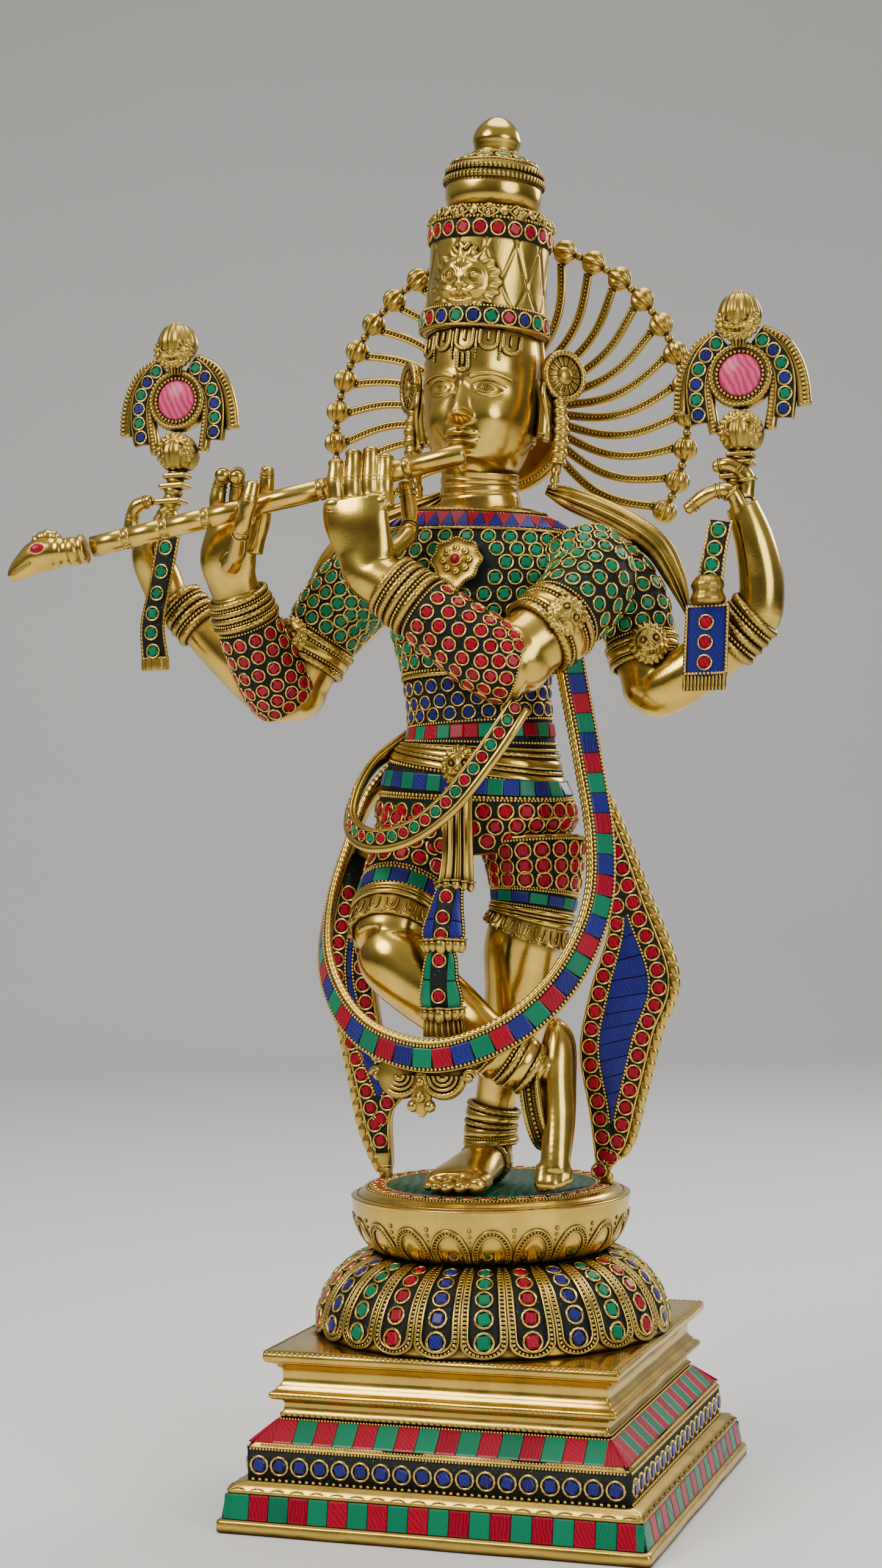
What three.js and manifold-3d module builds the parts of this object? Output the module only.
// A four-armed flute player: a stone-inlaid brass temple statue on a lotus seat and a stepped square
// pedestal.
// Millimetres, +Z up. The origin is the centre of the pedestal's underside and the figure faces -Y.
// "Left" and "right" are the figure's own sides, so its right arm reaches towards -X.
import * as THREE from "three";
import { mergeVertices } from "three/addons/utils/BufferGeometryUtils.js";
import Module from "manifold-3d";

const wasm = await Module();
wasm.setup();

// Driving dimensions
const FIGURE_HEIGHT = 611; // from the lotus seat to the tip of the crown
const DRAWN_HEIGHT = 611; // the height at which the figure's stations below are written
const BASE_WIDTH = 240; // across the lowest step
const PLATE_WIDTH = 200; // across the top plate of the pedestal
const GAP = 0.3; // brazing gap between two castings
const SKIN = 1.5; // an inlaid bed with its stones and rings
const WALL = 5; // wall of the hollow cast base
const CUFF = 4.2; // how far the knee cuffs, anklets, armlets, bangles and belt stand off a limb
const ANKLET = 4.5;
const ARMLET = 4;
const BANGLE = 3.4;
const BELT = 4;
const FLUTE_RADIUS = 6;
const FLUTE_PLAY = 0.4; // the flute's clearance in the hands and in its finial

// Heights of the base, from the table up
const FOOT_STRIP = 7;
const TILE_BAND = 14;
const LEDGE = 4.5;
const LAPIS_BAND = 19;
const SLOPE_BAND = 13;
const BLOCK = 36.8;
const DOME = 43;
const BOWL = 36.7;
const PEDESTAL_TOP = FOOT_STRIP + TILE_BAND + LEDGE + LAPIS_BAND + SLOPE_BAND + BLOCK;
const DOME_TOP = PEDESTAL_TOP + GAP + DOME;
const SEAT_TOP = DOME_TOP + GAP + BOWL;

// Radii of the lotus
const DOME_RADIUS = 100;
const DOME_NECK = 61;
const BOWL_RIM = 80;
const SEAT_RADIUS = 71;
const BOLT_RADIUS = 4;
const BOLT_PLAY = 0.5;

const ROUND = 20; // sides of the turned lotus pieces
const scale = FIGURE_HEIGHT / DRAWN_HEIGHT;
const X = new THREE.Vector3(1, 0, 0);
const Y = new THREE.Vector3(0, 1, 0);
const Z = new THREE.Vector3(0, 0, 1);

// ---- geometry to solids and back ----

function solid(geometry) {
  const bare = new THREE.BufferGeometry().setAttribute("position", geometry.getAttribute("position"));
  if (geometry.index) bare.setIndex(geometry.index);
  const merged = mergeVertices(bare, 1e-4);
  return new wasm.Manifold(
    new wasm.Mesh({
      numProp: 3,
      vertProperties: new Float32Array(merged.attributes.position.array),
      triVerts: new Uint32Array(merged.index.array),
    }),
  );
}

function geometryOf(manifold) {
  const mesh = manifold.getMesh();
  return new THREE.BufferGeometry()
    .setAttribute("position", new THREE.BufferAttribute(mesh.vertProperties, 3))
    .setIndex(new THREE.BufferAttribute(mesh.triVerts, 1));
}

function join(...solids) {
  return solids.reduce((whole, next) => whole.add(next));
}

function cut(whole, ...tools) {
  return tools.reduce((rest, tool) => rest.subtract(tool), whole);
}

// A cut can leave crumbs beside the piece itself, so only its main body is kept.
function mainBody(whole) {
  return whole.decompose().reduce((best, next) => (next.volume() > best.volume() ? next : best));
}

// ---- shapes ----

const point = ([x, y, z]) => new THREE.Vector3(x, y, z).multiplyScalar(scale);

// A closed form along stations [x, y, z, half width, half depth], grown outwards by grow.
// across is the direction of the half width.
function loft(stations, { sides = 8, rows, grow = 0, across = X } = {}) {
  const line = (list) => new THREE.CatmullRomCurve3(list, false, "catmullrom", 0.5);
  const centre = line(stations.map(point));
  const size = line(stations.map(([, , , a, b]) => new THREE.Vector3(a, b ?? a, 0).multiplyScalar(scale)));
  const form = new THREE.CylinderGeometry(1, 1, 1, sides, rows ?? (stations.length - 1) * 2);
  const place = form.getAttribute("position");
  const local = new THREE.Vector3();
  for (let i = 0; i < place.count; i++) {
    local.fromBufferAttribute(place, i);
    const t = local.y + 0.5;
    const along = centre.getTangent(t);
    const side = across.clone().addScaledVector(along, -across.dot(along)).normalize();
    const other = side.clone().cross(along);
    const reach = size.getPoint(t);
    const end = t < 1e-6 ? -grow : t > 1 - 1e-6 ? grow : 0;
    const at = centre
      .getPoint(t)
      .addScaledVector(along, end)
      .addScaledVector(side, local.x * (reach.x + grow))
      .addScaledVector(other, local.z * (reach.y + grow));
    place.setXYZ(i, at.x, at.y, at.z);
  }
  return solid(form);
}

// A sleeve around a limb between two shares of its length, cut square to it at both ends.
function sleeve(stations, { from, to, inner = GAP, outer = GAP + SKIN, ...shape }) {
  const centre = new THREE.CatmullRomCurve3(stations.map(point), false, "catmullrom", 0.5);
  let shell = cut(loft(stations, { ...shape, grow: outer }), loft(stations, { ...shape, grow: inner }));
  for (const [share, sign] of [[from, 1], [to, -1]]) {
    const at = centre.getPoint(share);
    const way = centre.getTangent(share).multiplyScalar(sign);
    shell = shell.trimByPlane(way.toArray(), way.dot(at));
  }
  return shell;
}

// A turned form about Z. The profile is [radius, height] and starts and ends on the axis or closes on
// itself.
function turned(profile, sides = ROUND) {
  return solid(new THREE.LatheGeometry(profile.map(([r, h]) => new THREE.Vector2(r, h)),
    sides).rotateX(Math.PI / 2));
}

// A square moulding about Z, whose profile gives half widths.
function squared(profile) {
  const corners = 4;
  const corner = Math.SQRT2;
  const form = new THREE.LatheGeometry(profile.map(([r, h]) => new THREE.Vector2(r * corner, h)), corners);
  return solid(form.rotateX(Math.PI / 2).rotateZ(Math.PI / corners));
}

function ball([x, y, z], [a, b, c], detail) {
  const form = new THREE.SphereGeometry(1, detail, Math.round(detail * 0.7));
  return solid(form.scale(a * scale, b * scale, c * scale).translate(x * scale, y * scale, z * scale));
}

// A straight cylinder between two points.
function bar(a, b, radius, sides = 16) {
  const [from, to] = [a, b].map(point);
  const way = to.clone().sub(from);
  const form = new THREE.CylinderGeometry(radius, radius, way.length(), sides);
  form.applyQuaternion(new THREE.Quaternion().setFromUnitVectors(Y, way.clone().normalize()));
  const middle = from.add(to).multiplyScalar(0.5);
  return solid(form.translate(middle.x, middle.y, middle.z));
}

// A flat plate whose outline is drawn in x and z, lying from y = back to y = front.
function plate(outline, front, back) {
  const shape = new THREE.Shape(outline.map(([x, z]) => new THREE.Vector2(x * scale, z * scale)));
  const depth = (back - front) * scale;
  const form = new THREE.ExtrudeGeometry(shape, { depth, bevelEnabled: false, curveSegments: 6 });
  return solid(form.rotateX(Math.PI / 2).translate(0, back * scale, 0));
}

// ---- materials ----

const finish = (color, roughness, metalness) => new THREE.MeshStandardMaterial({ color, roughness,
  metalness });
const brass = finish(0xc09a3e, 0.28, 1);
const darkBrass = finish(0x8a6a2c, 0.45, 1);
const malachite = finish(0x0f6e46, 0.3, 0);
const coral = finish(0xb3122e, 0.35, 0);
const lapis = finish(0x1a1e7a, 0.3, 0);
const steel = finish(0x8c8f94, 0.4, 1);

const statue = new THREE.Group();
const base = new THREE.Group();
const figure = new THREE.Group();
figure.position.z = SEAT_TOP;
statue.add(base, figure);

function add(group, name, body, material) {
  const mesh = new THREE.Mesh(geometryOf(body), material);
  mesh.name = name;
  group.add(mesh);
}

// ---- the base ----

function buildBase() {
  const half = BASE_WIDTH / 2;
  const plateHalf = PLATE_WIDTH / 2;
  const bandBase = FOOT_STRIP;
  const ledge = FOOT_STRIP + TILE_BAND;
  const lapisBase = ledge + LEDGE;
  const slopeBase = lapisBase + LAPIS_BAND;
  const blockBase = slopeBase + SLOPE_BAND;
  const lapisHalf = half - 12.5;
  const slopeTop = lapisHalf - 14.5;
  const neck = plateHalf - 9;
  const shelf = Math.min(slopeTop - SKIN - 8, neck - 7.5); // the plinth's rim always reaches under the block
  const bore = BOLT_RADIUS + BOLT_PLAY;

  // The plinth is a tray: a floor, and walls with the beds of three inlaid bands cut into their outer
  // sides.
  const plinth = squared([
    [0, 0], [half, 0], [half, FOOT_STRIP], [half - 2 - SKIN, bandBase + GAP],
    [half - 5 - SKIN, ledge - GAP], [half - 4.5, ledge], [half - 7, ledge + LEDGE],
    [lapisHalf - SKIN, lapisBase + GAP],
    [lapisHalf - SKIN, slopeBase - GAP], [lapisHalf - SKIN - 1.5, slopeBase],
    [slopeTop - SKIN, blockBase - GAP], [shelf, blockBase - GAP],
    [shelf, slopeBase - WALL], [lapisHalf - SKIN - WALL - 3, slopeBase - WALL],
    [lapisHalf - SKIN - WALL - 3, WALL], [0, WALL],
  ]);
  add(base, "base_plinth", plinth, brass);
  const band = (r0, r1, z0, z1) => squared([
    [r0, z0], [r1, z1], [r1 - SKIN + GAP, z1], [r0 - SKIN + GAP, z0], [r0, z0],
  ]);
  add(base, "plinth_tile_band", band(half - 2, half - 5, bandBase + GAP * 2, ledge - GAP * 2), coral);
  add(base, "lapis_band", band(lapisHalf, lapisHalf, lapisBase + GAP * 2, slopeBase - GAP * 2), lapis);
  add(base, "sloped_tile_band", band(lapisHalf - 1.2, slopeTop + 0.3, slopeBase + GAP,
    blockBase - GAP * 2), malachite);

  // The block carries two thin flanges and is hollow underneath.
  const top = PEDESTAL_TOP;
  const block = squared([
    [neck, blockBase], [neck, blockBase + 9], [plateHalf - 3, blockBase + 10.5],
      [plateHalf - 2.4, blockBase + 15.5],
    [neck + 1, blockBase + 17], [neck + 1, top - 8.5], [plateHalf - 1, top - 7], [plateHalf, top],
    [bore, top], [bore, top - WALL], [neck - WALL, top - WALL], [neck - WALL, blockBase], [neck, blockBase],
  ]);
  add(base, "pedestal_block", block, brass);

  const domeBase = PEDESTAL_TOP + GAP;
  const domeCurve = new THREE.EllipseCurve(DOME_NECK, 0, DOME_RADIUS - DOME_NECK, DOME, 0, Math.PI / 2);
  const outer = domeCurve.getPoints(4).map((p) => [p.x, domeBase + p.y]);
  const inner = domeCurve.getPoints(4).reverse().map((p) => [p.x - WALL,
    domeBase + p.y * (1 - WALL / DOME)]);
  const dome = turned([...outer, [bore, DOME_TOP], [bore, DOME_TOP - WALL], ...inner.slice(1), outer[0]]);
  add(base, "lotus_dome", dome, brass);

  const bowlBase = DOME_TOP + GAP;
  const rimHeight = bowlBase + BOWL * 0.84;
  const bowlCurve = new THREE.EllipseCurve(DOME_NECK, rimHeight, BOWL_RIM - DOME_NECK,
    rimHeight - bowlBase, -Math.PI / 2, 0);
  const side = bowlCurve.getPoints(4).map((p) => [p.x, p.y]);
  const bowl = turned([
    [bore, bowlBase], ...side, [SEAT_RADIUS + 2, rimHeight + 1.5], [SEAT_RADIUS, SEAT_TOP],
    [SEAT_RADIUS - 2, SEAT_TOP], [SEAT_RADIUS - 2, SEAT_TOP - SKIN], [bore, SEAT_TOP - SKIN],
      [bore, bowlBase],
  ]);
  add(base, "lotus_bowl", bowl, brass);
  const seat = turned([
    [0, SEAT_TOP - SKIN + GAP], [SEAT_RADIUS - 2 - GAP, SEAT_TOP - SKIN + GAP],
      [SEAT_RADIUS - 2 - GAP, SEAT_TOP],
    [0, SEAT_TOP],
  ]);
  add(base, "seat_inlay", seat, malachite);

  // One bolt from below clamps block, dome and bowl together.
  const headWidth = BOLT_RADIUS * 2.1;
  const headTop = top - WALL - GAP;
  const head = new THREE.CylinderGeometry(headWidth, headWidth, BOLT_RADIUS * 1.4, 6).rotateX(Math.PI / 2);
  head.translate(0, 0, headTop - BOLT_RADIUS * 0.7);
  const shank = new THREE.CylinderGeometry(BOLT_RADIUS, BOLT_RADIUS, SEAT_TOP - SKIN - GAP - headTop + 1,
    12).rotateX(Math.PI / 2);
  shank.translate(0, 0, (SEAT_TOP - SKIN - GAP + headTop - 1) / 2);
  add(base, "tie_bolt", join(solid(head), solid(shank)), steel);
}

// ---- the figure's stations: [x, y, z above the seat, half width, half depth] ----

const TORSO = [
  [-5, 2, 186, 48, 30], [-6, 2, 205, 58, 36], [-5, 1, 228, 53, 35], [-2, 0, 248, 44, 30],
    [-2, 0, 266, 41, 27],
  [-3, 0, 286, 42, 28], [-3, 1, 306, 47, 31], [-3, 2, 330, 54, 33], [-3, 3, 353, 61, 32],
    [-2, 4, 372, 54, 27],
  [-1, 4, 385, 34, 22],
];
const STANDING_LEG = [
  [28, 3, 196, 29, 31], [29, 2, 172, 24.5, 27], [27, 0, 152, 21.5, 23], [21, 0, 134, 21.5, 22.5],
  [18, 1, 108, 19, 20], [11, 4, 76, 16, 17], [3, 6, 50, 12, 13], [-1, 6, 32, 11, 12], [-1, 6, 17, 12, 13],
  [-1, 5, 5, 11, 14],
];
const STANDING_FOOT = [
  [0, 20, 9, 7, 7], [-1, 10, 12, 12, 11], [-2, -10, 12, 14, 11], [-4, -30, 9, 17, 8], [-5, -48, 6.6, 20, 6],
  [-5, -59, 5.2, 18, 4.4],
];
const CROSSING_THIGH = [
  [-34, 2, 204, 27, 31], [-38, -6, 184, 26.5, 29], [-41, -22, 162, 25.5, 26], [-42, -36, 146, 24, 24],
  [-42, -44, 136, 20, 20],
];
const CROSSING_SHIN = [
  [-47, -45, 140, 17, 17], [-38, -47, 129, 21, 21], [-22, -48, 114, 19.5, 19.5], [-3, -43, 97, 17, 17],
  [17, -35, 79, 13.5, 13.5], [38, -26, 64, 11, 11],
];
const CROSSING_FOOT = [
  [45, -12, 90, 6, 8], [46, -14, 80, 9.5, 12], [47, -20, 61, 10, 13], [49, -28, 40, 9.5, 11],
  [50, -37, 22, 8.5, 8.5], [49, -43, 10, 7.5, 6.5], [48.5, -45, 3.5, 6, 4.5],
];
const CLASP = [-1, -37, 237];
const CLASP_SIZE = [9, 7, 9];
const NECK = [[-1, 3, 379, 31, 25], [0, 2, 387, 24, 22], [0, 1, 398, 22.5, 22], [1, 0, 406, 22.5, 23]];
const SKULL = [
  [1, -8, 398, 11, 16], [1, -6, 404, 19, 25], [1.5, -4, 416, 27, 32], [2, -2, 432, 32, 36],
  [3, 0, 450, 33.5, 37], [4, 1, 468, 33.5, 36], [5, 2, 486, 31, 33],
];
// Each arm is an upper arm and a forearm that meet at the elbow.
const ARMS = {
  front_right: {
    upper: [[-60, 6, 352, 24, 23], [-83, 4, 337, 23, 23], [-100, 0, 314, 20.5, 20.5],
      [-113, -6, 288, 19, 19]],
    fore: [[-114, -4, 276, 15, 15], [-119, -14, 286, 20, 20], [-127, -31, 312, 18, 18],
      [-133, -45, 340, 14.5, 14.5]],
  },
  front_left: {
    upper: [[58, 5, 354, 25, 24], [67, -8, 338, 24, 24], [56, -32, 316, 21.5, 21],
      [38, -54, 296, 19.5, 19.5]],
    fore: [[42, -54, 287, 15, 15], [30, -60, 291, 20, 20], [0, -67, 313, 18, 18], [-32, -71, 338, 15, 15]],
  },
  rear_right: {
    upper: [[-60, 24, 347, 18, 18], [-84, 27, 332, 17, 17], [-112, 28, 308, 16, 16],
      [-138, 26, 288, 15.5, 15.5]],
    fore: [[-134, 26, 284, 13, 13], [-146, 25, 290, 16, 16], [-172, 21, 314, 14, 14],
      [-200, 17, 345, 12, 12]],
  },
  rear_left: {
    upper: [[66, 20, 352, 21, 20], [83, 19, 330, 20, 19.5], [90, 16, 305, 18, 18], [95, 13, 284, 16, 16]],
    fore: [[92, 13, 282, 13, 13], [102, 12, 279, 16.5, 16.5], [130, 10, 294, 15.5, 15.5],
      [160, 9, 320, 13, 13]],
  },
};
const ELBOW = { front_right: 19, front_left: 19.5, rear_right: 16, rear_left: 16 };
// The flute lies from the lips to the far end of the tube.
const FLUTE_MOUTH = [8, -49, 409];
const FLUTE_END = [-208, -90, 363];
const PALM = { sides: 8, across: X, rows: 3 };
const FINGER = { sides: 5, across: new THREE.Vector3(0.3, 0.9, 0.3).normalize() };
const HANDS = {
  front_right: {
    palm: [[-134, -48, 346, 15, 10], [-134, -53, 357, 17, 9], [-131, -55, 371, 15.5, 8],
      [-128, -55, 386, 13, 5]],
    fingers: [
      [[-137, -57, 376], [-138, -58, 390], [-134, -60, 403], [-129, -70, 403]],
      [[-129, -56, 378], [-127, -55, 392], [-124, -60, 404], [-120, -71, 401]],
      [[-120, -55, 372], [-116, -54, 388], [-113, -56, 398]],
      [[-117, -55, 360], [-111, -57, 376], [-107, -60, 392], [-105, -62, 405]],
      [[-130, -60, 353], [-120, -72, 358], [-112, -84, 369], [-107, -87, 380], [-104, -86, 393]],
    ],
  },
  front_left: {
    palm: [[-41, -71, 343, 14.5, 12], [-43, -73, 356, 16.5, 9], [-47, -75, 372, 19, 8],
      [-48, -75, 384, 18.5, 6]],
    fingers: [
      ...[[-59, 404], [-49.5, 409], [-39.8, 410], [-32, 406]].map(([x, top], i) => [
        [x + 1, -75 + i, 378], [x, -75.5 + i * 2, 392], [x, -73.5 + i * 2, top],
      ]),
      [[-32, -66, 354], [-25, -55, 364], [-26, -46, 376], [-29, -44, 394]],
    ],
  },
  rear_right: {
    palm: [[-203, 17, 343, 12, 12], [-209, 14, 358, 13, 12], [-214, 11, 372, 11, 12], [-211, 8, 385, 8, 9]],
    fingers: [
      [[-217, 5, 374], [-222, 3, 386], [-219, 2, 399], [-210, 3, 403]],
      [[-209, 5, 380], [-203, 3, 390], [-199, 2, 396]],
    ],
  },
  rear_left: {
    palm: [[160, 9, 319, 12.5, 13], [161, 8, 338, 12.5, 13], [158, 5, 359, 11, 12], [152, 2, 378, 9, 9]],
    fingers: [
      [[153, -2, 374], [147, -5, 385], [135, -5, 384], [124, -5, 377]],
      [[154, 3, 382], [155, 2, 393], [147, 0, 400], [139, 0, 400]],
    ],
  },
};
const BANGLES = { front_right: 0.8, front_left: 0.8, rear_right: 0.8, rear_left: 0.78 };

// A point at a share of the flute's length, moved aside.
function onFlute(share, aside = [0, 0, 0]) {
  return [0, 1, 2].map((k) => FLUTE_MOUTH[k] + (FLUTE_END[k] - FLUTE_MOUTH[k]) * share + aside[k]);
}

const torso = (grow) => loft(TORSO, { sides: 14, rows: 10, grow });
const standingLeg = (grow) => loft(STANDING_LEG, { rows: 9, grow });
const crossingThigh = (grow) => loft(CROSSING_THIGH, { rows: 5, grow });
const crossingShin = (grow) => loft(CROSSING_SHIN, { rows: 6, grow });
const crossingFoot = (grow) => loft(CROSSING_FOOT, { rows: 6, sides: 8, grow });
const standingFoot = (grow) => loft(STANDING_FOOT, { rows: 5, sides: 8, grow });
const skull = (grow) => loft(SKULL, { sides: 12, rows: 6, grow });
const neck = (grow) => loft(NECK, { sides: 10, rows: 3, grow });
const upperArm = (name, grow) => loft(ARMS[name].upper, { grow, across: Y, rows: 4 });
const foreArm = (name, grow) => loft(ARMS[name].fore, { grow, across: Y, rows: 5 });

function arm(name, grow) {
  const [x, y, z] = ARMS[name].upper[3];
  const bend = ball([x, y, z - 3], Array(3).fill(ELBOW[name] + grow), 8);
  return join(upperArm(name, grow), foreArm(name, grow), bend);
}

// A finger: a tapering rod through its joints.
function finger(joints, grow = 0, radius = 3.9) {
  const last = joints.length - 1;
  const stations = joints.map(([x, y, z], i) => [x, y, z, radius * (1 - (0.25 * i) / last)]);
  return loft(stations, { ...FINGER, rows: last + 1, grow });
}

// The bands that hold a sleeve's lower edge are cast with the arm.
function armlet(name, grow = 0) {
  const share = grow / 60;
  const span = { inner: -2, outer: ARMLET + grow, from: 0.655 - share, to: 0.86 + share };
  return sleeve(ARMS[name].upper, { across: Y, rows: 4, ...span });
}

function hand(name, grow) {
  const { palm, fingers } = HANDS[name];
  return join(loft(palm, { ...PALM, grow }), ...fingers.map((joints) => finger(joints, grow)));
}

function bangles(name, grow = 0) {
  const outer = BANGLE + grow;
  return sleeve(ARMS[name].fore, { from: BANGLES[name], to: 0.985, outer, across: Y, rows: 5 });
}

function buildLegs() {
  const trunk = torso(GAP);
  const standing = join(standingLeg(0), standingFoot(0));
  const crossing = join(crossingThigh(0), crossingShin(0), crossingFoot(0));
  const crossingRoom = join(crossingThigh(GAP), crossingShin(GAP), crossingFoot(GAP));
  add(figure, "standing_leg", mainBody(cut(standing, trunk, crossingRoom)), brass);
  add(figure, "crossing_leg", mainBody(cut(crossing, trunk)), brass);

  // The inlaid breeches and the cuffs below them
  const standingRoom = standingLeg(GAP);
  const left = sleeve(STANDING_LEG, { from: 0.01, to: 0.19, rows: 9 });
  const right = sleeve(CROSSING_THIGH, { from: 0.01, to: 0.62, rows: 5 });
  const rightRoom = join(crossingThigh(GAP * 2 + SKIN), crossingRoom);
  add(figure, "left_thigh_inlay", mainBody(cut(left, trunk, rightRoom)), coral);
  add(figure, "right_thigh_inlay", mainBody(cut(right, trunk, standingRoom, crossingShin(GAP))), coral);
  const cuff = { outer: CUFF };
  const leftCuff = sleeve(STANDING_LEG, { from: 0.2, to: 0.275, rows: 9, ...cuff });
  const rightCuff = sleeve(CROSSING_THIGH, { from: 0.65, to: 0.9, rows: 5, ...cuff });
  add(figure, "left_knee_cuff", mainBody(cut(leftCuff, rightRoom, trunk)), darkBrass);
  const shinRoom = crossingShin(GAP);
  add(figure, "right_knee_cuff", mainBody(cut(rightCuff, standingRoom, shinRoom, trunk)), darkBrass);
  const anklet = { outer: ANKLET };
  const ring = sleeve(STANDING_LEG, { from: 0.71, to: 0.85, rows: 9, ...anklet });
  add(figure, "standing_anklet", mainBody(cut(ring, standingFoot(GAP), crossingRoom)), darkBrass);
  const shin = sleeve(CROSSING_SHIN, { from: 0.8, to: 0.93, rows: 6, ...anklet });
  add(figure, "crossing_anklet", mainBody(cut(shin, crossingFoot(GAP), standingRoom)), darkBrass);
}

function buildTorso() {
  const arms = Object.keys(ARMS).flatMap((name) => [arm(name, GAP), armlet(name, GAP)]);
  const legs = [standingLeg(GAP), crossingThigh(GAP), standingLeg(SKIN + GAP * 2),
    crossingThigh(SKIN + GAP * 2)];
  const collarRoom = neck(GAP * 1.5);
  const round = { sides: 14, rows: 10 };
  add(figure, "torso", mainBody(cut(torso(0), collarRoom)), brass);
  const bodice = sleeve(TORSO, { from: 0.52, to: 0.88, ...round });
  add(figure, "bodice_inlay", mainBody(cut(bodice, ...arms)), malachite);
  const collar = sleeve(TORSO, { from: 0.885, to: 0.985, outer: GAP + SKIN + 0.5, ...round });
  add(figure, "neckline_inlay", mainBody(cut(collar, ...arms, collarRoom)), lapis);
  const midriff = sleeve(TORSO, { from: 0.3, to: 0.515, ...round });
  add(figure, "midriff_inlay", mainBody(cut(midriff, arm("front_left", GAP))), lapis);
  const belt = sleeve(TORSO, { from: 0.165, to: 0.293, outer: BELT, ...round });
  const clasp = cut(ball(CLASP, CLASP_SIZE, 8), torso(GAP));
  add(figure, "girdle", mainBody(cut(join(belt, clasp), ...legs)), darkBrass);
}

// The pleats and two pendants hang one below the other in front of the legs.
function buildApron() {
  const room = [
    standingLeg(CUFF + GAP), crossingThigh(CUFF + GAP), crossingShin(SKIN), torso(BELT + GAP),
    ball(CLASP, CLASP_SIZE.map((r) => r + GAP), 8),
  ];
  const between = (body, low, high) =>
    body.trimByPlane([0, 0, 1], low * scale).trimByPlane([0, 0, -1], -high * scale);
  const drop = { sides: 8, rows: 3 };
  const pleats = loft([[0, -46, 224, 7, 5], [1, -52, 205, 8, 7], [2, -56, 185, 8.5, 8],
    [2, -60, 168, 10, 8]], drop);
  const upper = loft([[1, -63, 172, 9, 5], [0, -68, 155, 13, 6], [-1, -71, 141, 15, 6],
    [-1, -72, 129, 12, 5]], drop);
  const lower = loft([[-2, -72, 133, 9, 5], [-3, -72, 117, 13, 6], [-3, -71, 105, 15, 6],
    [-3, -70, 91, 11, 4]], drop);
  add(figure, "apron_pleats", mainBody(cut(between(pleats, 170 + GAP, 222), ...room)), darkBrass);
  add(figure, "upper_pendant", mainBody(cut(between(upper, 131 + GAP, 170), ...room)), lapis);
  add(figure, "lower_pendant", mainBody(cut(between(lower, 91, 131), ...room)), malachite);
}

function buildArms() {
  const trunk = torso(GAP);
  const skinned = torso(GAP * 2 + SKIN);
  const upper = { across: Y, rows: 4 };
  const fore = { across: Y, rows: 5 };
  const others = {
    front_right: [],
    front_left: [],
    rear_right: [arm("front_right", ARMLET + GAP)],
    rear_left: [arm("front_left", ARMLET + GAP)],
  };
  for (const name of Object.keys(ARMS)) {
    const bands = name === "rear_right" ? [] : [armlet(name)];
    add(figure, name + "_arm", mainBody(cut(join(arm(name, 0), ...bands), trunk, ...others[name])), brass);
  }
  for (const name of ["front_right", "front_left", "rear_left"]) {
    const room = [skinned, foreArm(name, GAP), ...others[name]];
    const cloth = sleeve(ARMS[name].upper, { ...upper, from: 0.03, to: 0.64 });
    add(figure, name + "_sleeve_inlay", mainBody(cut(cloth, ...room)), malachite);
    if (name === "rear_left") continue;
    const lower = sleeve(ARMS[name].fore, { ...fore, from: 0.2, to: BANGLES[name] - 0.01 });
    const elbow = upperArm(name, ARMLET + GAP);
    const [x, y, z] = ARMS[name].upper[3];
    const bend = ball([x, y, z - 3], Array(3).fill(ELBOW[name] + GAP), 8);
    add(figure, name + "_forearm_inlay", mainBody(cut(lower, elbow, bend, ...others[name], skinned)),
      coral);
  }
}

function buildHands() {
  const passage = bar(onFlute(-0.05), onFlute(1.7), FLUTE_RADIUS + FLUTE_PLAY);
  for (const name of Object.keys(HANDS)) {
    const front = name.startsWith("front");
    const rooms = [foreArm(name, GAP), ...(front ? [passage] : [])];
    add(figure, name + "_hand", mainBody(cut(hand(name, 0), ...rooms)), brass);
    add(figure, name + "_bangles", mainBody(cut(bangles(name), hand(name, GAP))), darkBrass);
  }
}

// Ribbons of ring stones fall from the rear hands, and the left one ends in a tassel.
function buildRibbons() {
  const right = loft([[-194, -4, 380, 6.5, 1.5], [-199, -6, 352, 6.5, 1.5], [-205, -5, 328, 7, 1.5],
    [-205, -2, 306, 8, 1.5]], {
    sides: 6, rows: 5,
  });
  const left = loft([[143, -11, 368, 6, 1.5], [139, -13, 348, 6, 1.5], [136.5, -14, 332, 6.5, 2]],
    { sides: 6, rows: 4 });
  const tassel = loft([[137, -15, 333, 12, 3.5], [136, -16, 322, 13, 2], [133, -16, 285, 13, 2],
    [133, -16, 274, 14, 2.5]], {
    sides: 8, rows: 4,
  });
  const tie = (from, to, r) => bar(from, to, r, 6);
  const rightTie = tie([-197, -5, 360], [-204, 8, 360], 3);
  const leftTie = tie([139, -13, 350], [155, 6, 350], 3);
  const room = (side) => [hand("rear_" + side, GAP), bangles("rear_" + side, GAP),
    foreArm("rear_" + side, GAP)];
  add(figure, "right_ribbon", mainBody(cut(join(right, rightTie), ...room("right"))), malachite);
  add(figure, "left_ribbon", mainBody(cut(join(left, tassel, leftTie), ...room("left"))), lapis);
}

// ---- the head, crown and halo ----

const CROWN_FOOT = [4.5, 1, 484];
const CROWN_LEAN = 0.085; // lean to the figure's left, radians
const DRUM = [[0, 0], [37, 0], [38, 4], [35.5, 10], [34, 28], [35.2, 50], [35, 60], [30, 67], [27, 70],
  [0, 70]];
const BUN = [[0, 70.5], [24, 70.5], [27.5, 76], [28.7, 84], [26, 94], [17, 101.5], [0, 101.5]];
const FINIAL = [[0, 100], [10, 100], [13, 106], [14, 112], [11.5, 119], [5.5, 125], [0, 127]];

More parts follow.
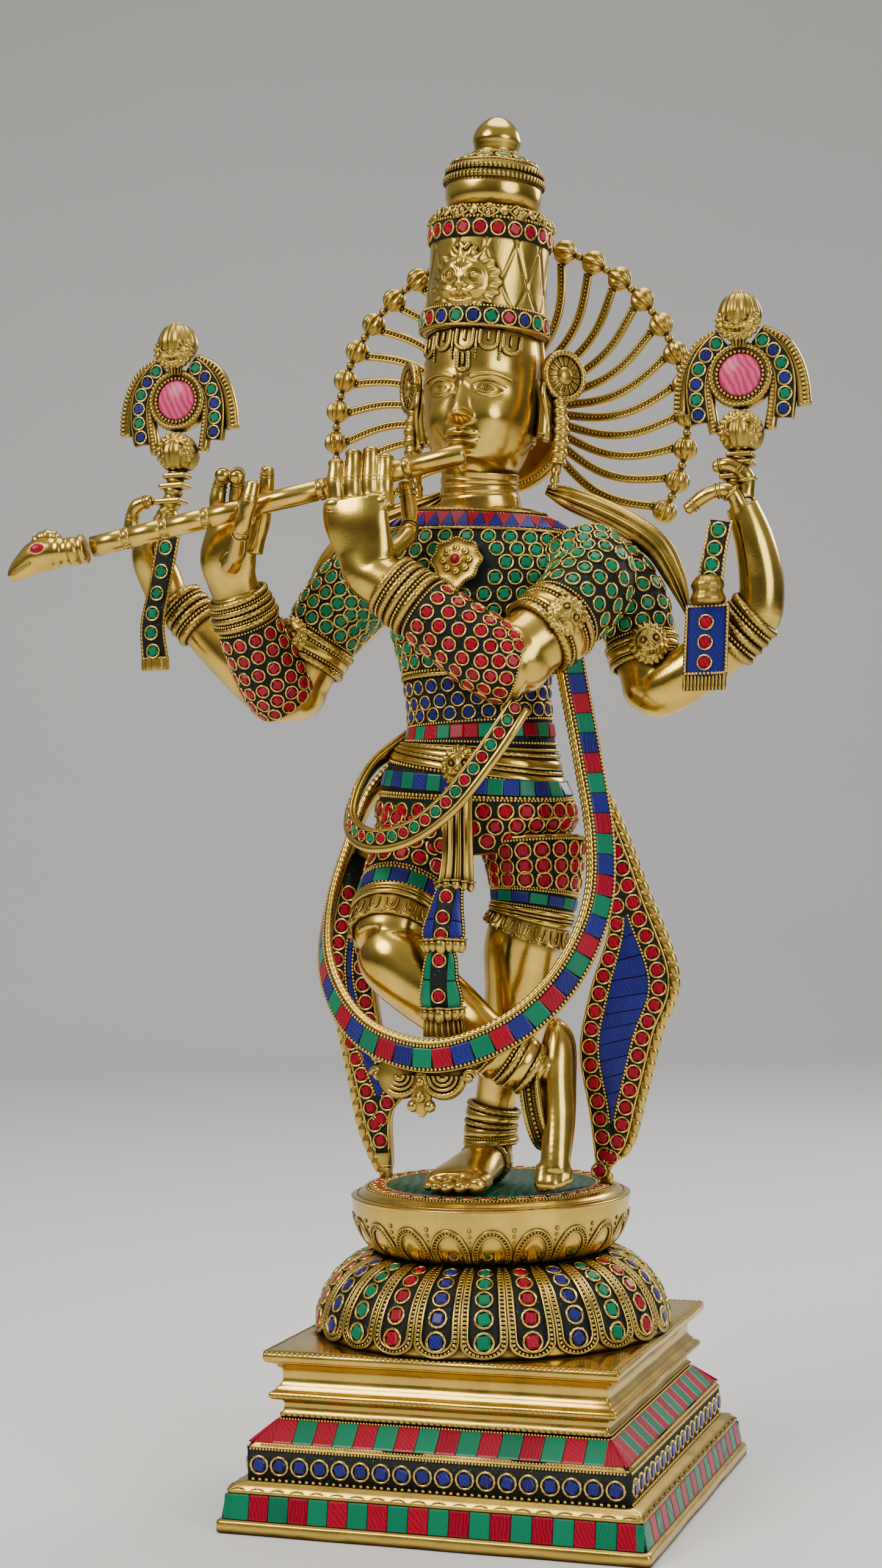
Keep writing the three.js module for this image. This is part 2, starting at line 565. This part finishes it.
function buildHead() {
  const nose = ball([3, -39, 434], [4, 6, 8], 6);
  add(figure, "head", mainBody(join(skull(0), neck(0), nose)), brass);
  const lean = (form) => form.rotate([0, (CROWN_LEAN * 180) / Math.PI,
    0]).translate(CROWN_FOOT.map((v) => v * scale));
  const up = (profile, grow = 0) => turned(profile.map(([r, h]) => [(r ? r + grow : 0) * scale,
    h * scale]), 14);
  const drum = lean(up(DRUM));
  add(figure, "crown", mainBody(cut(drum, skull(GAP))), brass);
  add(figure, "hair_bun", lean(join(up(BUN), up(FINIAL))), brass);

  // Each earring is a rosette beside the ear with a chain of drops down to the shoulder.
  const room = [skull(GAP), lean(up(DRUM, GAP)), neck(GAP), torso(SKIN + 0.5 + GAP * 2)];
  for (const [name, side] of [["right", -1], ["left", 1]]) {
    const x = 3 + side * 45;
    const rosette = ball([x + side * 2, 10, 459], [14, 6, 16], 8);
    const ear = loft([[3 + side * 33, 2, 456, 4, 6], [3 + side * 37, 3, 440, 4.5, 7],
      [3 + side * 35, 2, 424, 4, 5]], { sides: 8, rows: 3 });
    const drops = loft([[x - side * 2, 9, 452, 5, 5], [x, 6, 420, 5.5, 5],
      [x - side * 3, 4, 398, 5, 4.5]], { sides: 8, rows: 3 });
    add(figure, name + "_earring", mainBody(cut(join(rosette, ear, drops), ...room)), darkBrass);
  }
}

// The halo: fluted beads on a ring, each held by a rib that sweeps out of a plate behind the head.
const HALO = { centre: [3, 48, 438], radius: 109, plate: 38, beads: 25, first: -30, step: 10, sweep: 8,
  bead: 7, link: 2.6 };

function onHalo(angle, radius, swirl = 0) {
  const turn = THREE.MathUtils.degToRad(angle);
  const [x, y, z] = HALO.centre;
  return [
    x + Math.cos(turn) * radius + Math.sin(turn) * swirl, y,
    z + Math.sin(turn) * radius - Math.cos(turn) * swirl,
  ];
}

function buildHalo() {
  const disc = new THREE.CylinderGeometry(HALO.plate * scale, HALO.plate * scale, 6, 16);
  const parts = [solid(disc.translate(...HALO.centre.map((v) => v * scale)))];
  const angles = Array.from({ length: HALO.beads }, (_, i) => HALO.first + i * HALO.step);
  const reach = HALO.radius - HALO.plate;
  for (const angle of angles) {
    const rib = [0, 0.5, 1].map((s) => onHalo(angle, HALO.plate - 3 + s * reach,
      Math.sin(s * Math.PI) * HALO.sweep));
    parts.push(loft(rib.map((at) => [...at, 2.6, 2.2]), { sides: 4, rows: 2, across: Y }));
  }
  // The beads and the short links between them are one string.
  const string = [[...onHalo(HALO.first - 3.4, HALO.radius), 2.5]];
  angles.forEach((angle, i) => {
    if (i) string.push([...onHalo(angle - HALO.step / 2, HALO.radius), HALO.link]);
    string.push([...onHalo(angle, HALO.radius), HALO.bead]);
  });
  string.push([...onHalo(angles[angles.length - 1] + 3.4, HALO.radius), 2.5]);
  parts.push(loft(string, { sides: 6, rows: string.length - 1, across: Y }));
  // A bracket ties the plate to the back of the head.
  const bracket = bar([3, 25, 444], [3, 48, 444], 8, 8);
  add(figure, "halo", mainBody(cut(join(...parts, bracket), skull(GAP))), darkBrass);
}

// ---- what the hands hold ----

function buildEmblems() {
  const emblems = [
    ["right", [-192, 8, 463], [-199, 5, 394]],
    ["left", [152, 8, 451], [148, 4, 388]],
  ];
  for (const [name, [x, y, z], foot] of emblems) {
    const arch = new THREE.Shape();
    arch.absellipse(0, -8, 41, 46, Math.PI, 0, true);
    arch.lineTo(41, -14);
    arch.lineTo(19, -14);
    arch.absellipse(0, -8, 19, 21, 0, Math.PI, false);
    arch.lineTo(-41, -14);
    const band = new THREE.ExtrudeGeometry(arch, { depth: 9, bevelEnabled: false, curveSegments: 7 });
    band.rotateX(Math.PI / 2).scale(scale, scale, scale).translate(x * scale, (y + 4.5) * scale, z * scale);
    const boss = new THREE.CylinderGeometry(20 * scale, 20 * scale, 15 * scale, 14);
    boss.translate(x * scale, y * scale, z * scale);
    const top = ball([x, y - 1, z + 38], [12, 9, 13], 8);
    const low = ball([x, y - 1, z - 30], [14, 9, 14], 8);
    const stem = loft([[x, y, z - 34, 7, 6], [(x + foot[0]) / 2, y, z - 48, 6, 6], [...foot, 6, 6]],
      { sides: 8, rows: 3 });
    const rooms = [hand("rear_" + name, GAP), bar(onFlute(-0.05), onFlute(1.7), FLUTE_RADIUS + 2)];
    add(figure, name + "_emblem", mainBody(cut(join(solid(band), solid(boss), top, low, stem), ...rooms)),
      brass);
  }
}

function buildFlute() {
  add(figure, "flute", bar(onFlute(0), onFlute(1), FLUTE_RADIUS, 14), brass);
  const socket = bar(onFlute(0.985), onFlute(1.035), FLUTE_RADIUS + 2.5, 12);
  const sizes = [8, 10.5, 9, 4];
  const aside = [[0, 0, 0], [0, 0, 3], [0, 0, 3], [0, 0, -3]];
  const beak = [1.02, 1.07, 1.12, 1.17].map((share, i) => [...onFlute(share, aside[i]), sizes[i]]);
  const form = join(socket, loft(beak, { sides: 8, rows: 4, across: Y }),
    ball(onFlute(1.1, [2, 0, 8]), [8, 8, 9], 7));
  const end = bar(onFlute(0.9), onFlute(1.002), FLUTE_RADIUS + GAP, 14);
  add(figure, "flute_finial", mainBody(cut(form, end)), brass);
}

// ---- garland, scarf and drapes ----

const GARLAND = [
  [56, -28, 330], [62, -31, 290], [72, -36, 240], [80, -42, 195], [80, -50, 158], [68, -62, 124],
    [46, -72, 98],
  [16, -80, 82], [-13, -80, 78], [-44, -74, 87], [-66, -62, 105], [-81, -44, 130], [-86, -22, 160],
    [-82, -4, 190],
  [-74, 8, 218],
];
const SCARF = [
  [40, -60, 268], [34, -66, 256], [22, -70, 238], [2, -72, 214], [-22, -68, 199], [-46, -60, 196],
    [-64, -44, 205],
  [-68, -26, 222], [-62, -10, 240],
];
const garland = (grow) => loft(GARLAND.map((at) => [...at, 8, 4]), { sides: 6, rows: 30, across: Z, grow });
const scarf = (grow) => loft(SCARF.map((at) => [...at, 7, 3.5]), { sides: 6, rows: 18, across: Z, grow });

function legRooms() {
  return [
    torso(BELT + GAP), standingLeg(ANKLET + GAP), crossingThigh(ANKLET + GAP),
    crossingShin(ANKLET + GAP), crossingFoot(GAP),
  ];
}

function buildLoops() {
  const body = legRooms();
  const drop = plate([
    [-44, 82], [18, 80], [14, 66], [2, 60], [-6, 48], [-13, 44], [-20, 49], [-28, 61], [-40, 67],
  ], -84, -79);
  const pendants = loft([[0, -66, 172, 13, 7], [-1, -71, 141, 16, 7], [-3, -71, 105, 16, 7],
    [-3, -70, 90, 12, 6]], { sides: 8, rows: 3 });
  const worn = join(garland(0), drop);
  const lain = cut(worn, ...body, arm("front_left", ARMLET + GAP), pendants);
  add(figure, "garland", mainBody(lain), coral);
  add(figure, "waist_scarf", mainBody(cut(scarf(0), ...body, arm("front_left", ARMLET + GAP), garland(GAP))),
    brass);
}

// The scarf's long ends hang at both sides and stand on the seat.
function buildDrapes() {
  const foot = SEAT_RADIUS / scale - 3;
  const left = plate([
    [60, 232], [74, 215], [92, 170], [110, 118], [100, 86], [90, 50], [82, 24], [foot + 2, 14],
      [foot + 2, GAP],
    [foot - 5, GAP], [foot - 7, 14], [58, 40], [53, 75], [60, 110], [72, 150], [62, 190],
  ], 2, 12);
  const right = plate([
    [-72, 190], [-66, 160], [-72, 120], [-62, 60], [-54, 48], [-62, 36], [-foot + 6, 10], [-foot + 5, GAP],
    [-foot - 1, GAP], [-foot - 6, 10], [-82, 30], [-88, 60], [-94, 90], [-104, 120], [-96, 165], [-84, 200],
  ], 2, 12);
  const room = [...legRooms(), garland(GAP), scarf(GAP)];
  add(figure, "left_drape", mainBody(cut(left, ...room)), lapis);
  add(figure, "right_drape", mainBody(cut(right, ...room)), lapis);
}

// Ribbed locks of hair fall behind both shoulders and end in tassels.
function buildLocks() {
  const locks = [
    ["right_lock", [[-46, 26, 391, 9, 7], [-70, 29, 384, 12, 8], [-94, 29, 371, 12, 8],
      [-108, 29, 356, 10, 7], [-115, 29, 338, 4, 4]]],
    ["left_lock", [[48, 26, 391, 9, 7], [74, 29, 378, 12, 8], [96, 30, 362, 12, 8], [106, 30, 345, 9, 7],
      [112, 30, 328, 4, 4]]],
  ];
  const rooms = [torso(SKIN + 0.5 + GAP * 2), neck(GAP), skull(GAP)];
  for (const name of Object.keys(ARMS)) rooms.push(arm(name, GAP * 2 + SKIN));
  for (const [name, stations] of locks) {
    add(figure, name, mainBody(cut(loft(stations, { sides: 8, rows: 6 }), ...rooms)), darkBrass);
  }
}

buildBase();
buildLegs();
buildTorso();
buildApron();
buildArms();
buildHands();
buildRibbons();
buildHead();
buildHalo();
buildEmblems();
buildFlute();
buildLoops();
buildDrapes();
buildLocks();

export default statue;
